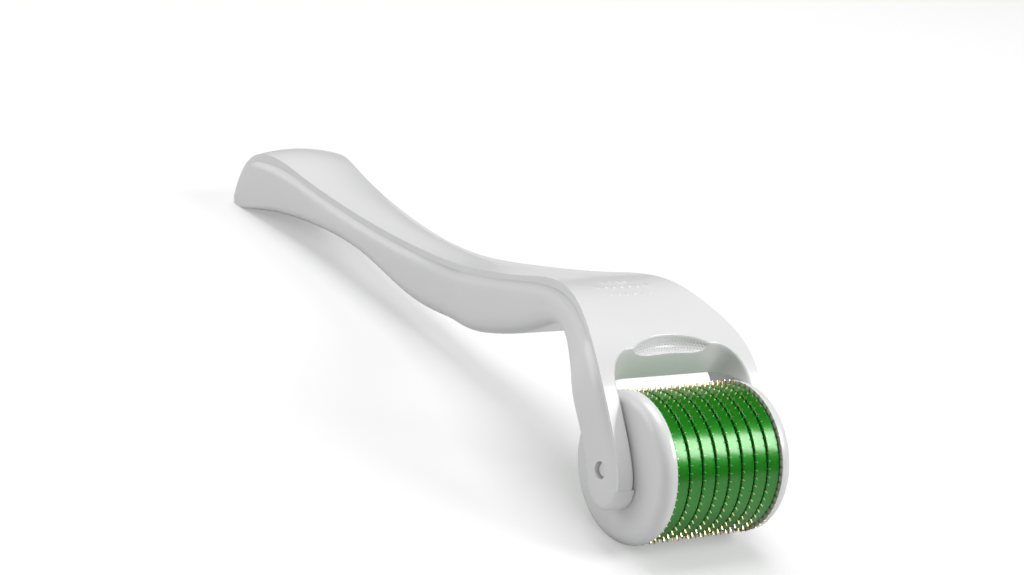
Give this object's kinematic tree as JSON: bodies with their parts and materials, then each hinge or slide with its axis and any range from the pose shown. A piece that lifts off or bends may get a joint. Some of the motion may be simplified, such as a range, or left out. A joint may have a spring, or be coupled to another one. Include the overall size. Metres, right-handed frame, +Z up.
{
  "type": "derma roller",
  "caption": "Hand-held skin roller: a slim S-curved two-shell handle whose forked end carries a turning drum of thin needle discs between rounded spacer rings and end caps.",
  "frame": {"origin": "centre of the bounding box in plan, on the surface the roller lies on", "axes": "+X runs along the handle toward the drum, +Y along the drum's axis to its right-hand end, +Z up from the surface it rests on"},
  "size_m": [0.1385, 0.0276, 0.0276],
  "materials": {
    "white_plastic": "glossy injection-moulded white ABS",
    "core_plastic": "moulded dark green ABS",
    "green_plastic": "glossy tinted green plastic",
    "gold_needles": "etched steel with a pale gold titanium nitride coat"
  },
  "bodies": {
    "handle": {"upper_shell": "white_plastic", "lower_shell": "white_plastic"},
    "roller": {"end_cap_left": "white_plastic", "end_cap_right": "white_plastic", "drum_core": "core_plastic", "needle_disc_1": "gold_needles", "needle_disc_2": "gold_needles", "needle_disc_3": "gold_needles", "needle_disc_4": "gold_needles", "needle_disc_5": "gold_needles", "needle_disc_6": "gold_needles", "needle_disc_7": "gold_needles", "needle_disc_8": "gold_needles", "needle_disc_9": "gold_needles", "spacer_ring_1": "green_plastic", "spacer_ring_2": "green_plastic", "spacer_ring_3": "green_plastic", "spacer_ring_4": "green_plastic", "spacer_ring_5": "green_plastic", "spacer_ring_6": "green_plastic", "spacer_ring_7": "green_plastic", "spacer_ring_8": "green_plastic"}
  },
  "joints": [
    {"name": "roller_spin", "type": "hinge", "parent": "handle", "child": "roller", "pos_m": [0.05875, 0, 0.0105], "axis": [0, 1, 0], "continuous": true}
  ]
}
